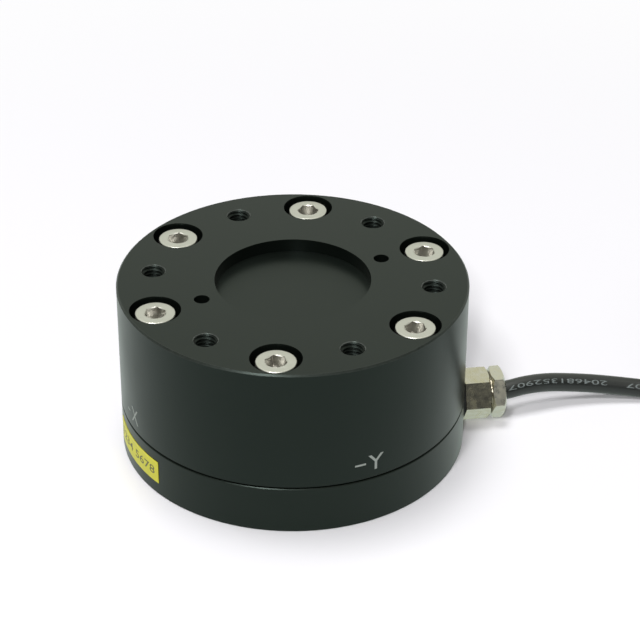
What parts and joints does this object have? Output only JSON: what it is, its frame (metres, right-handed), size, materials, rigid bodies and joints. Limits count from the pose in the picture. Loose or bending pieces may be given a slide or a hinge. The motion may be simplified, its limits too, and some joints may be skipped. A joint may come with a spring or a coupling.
{
  "type": "force torque sensor",
  "caption": "Flat round multi-axis force and torque sensor with bolted flange faces, pilot recesses, a side cable gland, and a lead wound into a coil that ends in a round connector.",
  "frame": {"origin": "on the body's axis in the plane of the underside, at the mouth of the base pilot recess", "axes": "+Z along the body's axis from the base flange to the tool face, +X through the first housing screw, the cable gland leaves 16 degrees from +X towards -Y"},
  "size_m": [0.2399, 0.108, 0.0465],
  "materials": {
    "anodised_dark": "turned and dark anodised, satin",
    "anodised_base": "turned and dark anodised, satin",
    "aluminium_plain": "milled",
    "gauge_foil": "foil on a polyimide backing",
    "polyimide": "amber film",
    "board_laminate": "solder mask",
    "chip_epoxy": "moulded",
    "terminal_plastic": "moulded",
    "brass": "turned",
    "screw_steel": "stainless, satin",
    "pin_steel": "ground",
    "seal_rubber": "moulded rubber",
    "label_film": "printed yellow film",
    "gland_nickel": "nickel plated",
    "claw_plastic": "moulded polyamide",
    "cable_jacket": "extruded jacket, satin",
    "tie_strap": "woven hook and loop",
    "relief_rubber": "moulded",
    "connector_nickel": "nickel plated",
    "insert_plastic": "moulded",
    "contact_gold": "gold plated"
  },
  "bodies": {
    "root": {"housing": "anodised_dark", "base_flange": "anodised_base", "elastic_element": "aluminium_plain", "strain_gauges": "gauge_foil", "gauge_leads": "polyimide", "signal_board": "board_laminate", "board_chips": "chip_epoxy", "board_terminal": "terminal_plastic", "board_standoffs": "brass", "board_screws": "screw_steel", "housing_screws": "screw_steel", "hub_screws": "screw_steel", "hub_pins": "pin_steel", "dust_seal": "seal_rubber", "label": "label_film", "gland_gasket": "seal_rubber", "gland_body": "gland_nickel", "gland_claw": "claw_plastic", "gland_grommet": "seal_rubber", "gland_nut": "gland_nickel", "cable_stub": "cable_jacket", "cable_lead": "cable_jacket", "cable_coil": "cable_jacket", "cable_tail": "cable_jacket", "coil_tie": "tie_strap", "connector_relief": "relief_rubber", "connector_cap": "connector_nickel", "connector_body": "connector_nickel", "connector_grip": "connector_nickel", "connector_insert": "insert_plastic", "connector_contacts": "contact_gold"}
  },
  "joints": []
}
